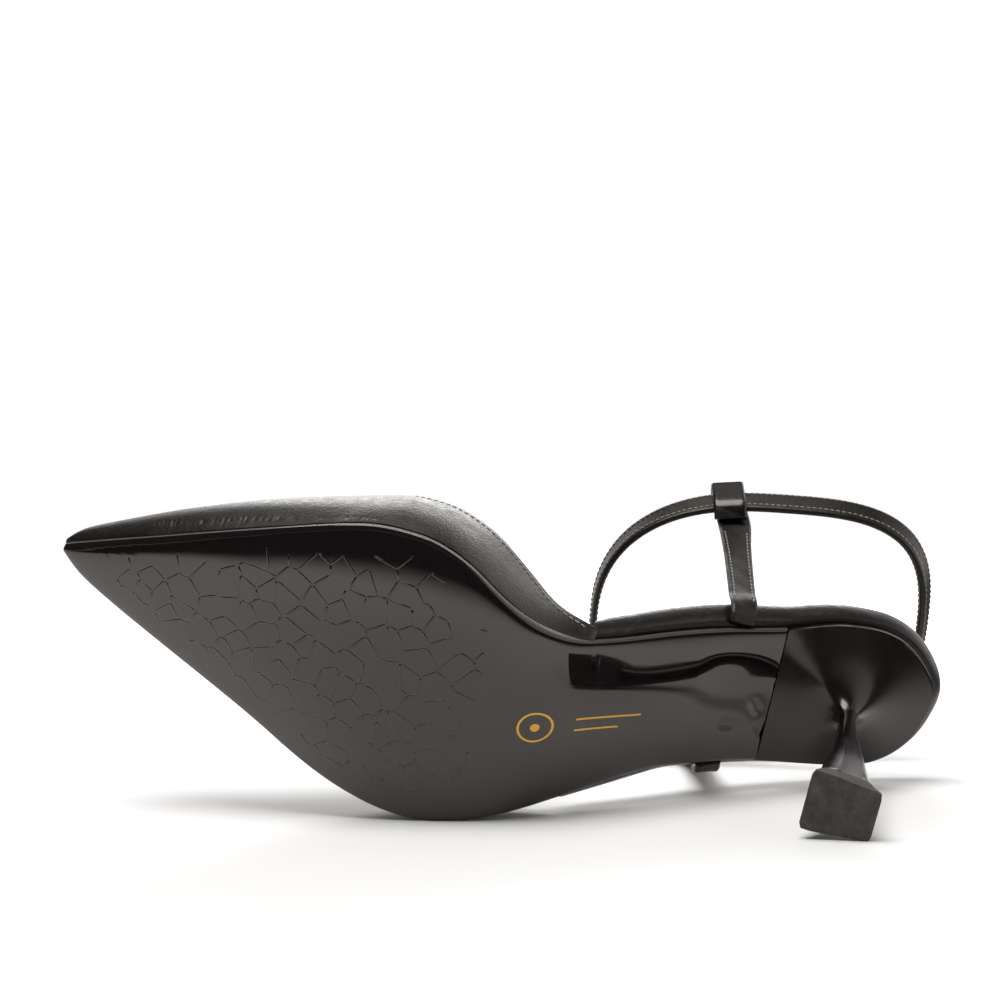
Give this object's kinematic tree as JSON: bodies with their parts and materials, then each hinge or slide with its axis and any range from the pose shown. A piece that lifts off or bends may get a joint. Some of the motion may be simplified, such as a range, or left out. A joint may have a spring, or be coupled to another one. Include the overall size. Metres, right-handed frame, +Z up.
{
  "type": "high-heeled ankle-strap pump",
  "caption": "Black pointed open-waist pump with a slim flared heel and ankle strap, lying on its outer side with the crackle-embossed sole in view.",
  "frame": {"origin": "middle of the bounding box on the floor that the shoe lies on", "axes": "+X from toe to heel, +Y away from the sole that faces the viewer, +Z up from the floor towards the inner side of the shoe"},
  "size_m": [0.2332, 0.1376, 0.0903],
  "materials": {
    "gloss_sole": "gloss",
    "satin_leather": "satin",
    "satin_heel": "satin",
    "matte_rubber": "matte",
    "buckle_metal": "polished"
  },
  "bodies": {
    "root": {"outsole": "gloss_sole", "insole": "satin_leather", "upper": "satin_leather", "heel": "satin_heel", "top_piece": "matte_rubber", "ankle_strap": "satin_leather", "side_strap_medial": "satin_leather", "side_strap_lateral": "satin_leather", "buckle_frame": "buckle_metal", "buckle_prong": "buckle_metal"}
  },
  "joints": []
}
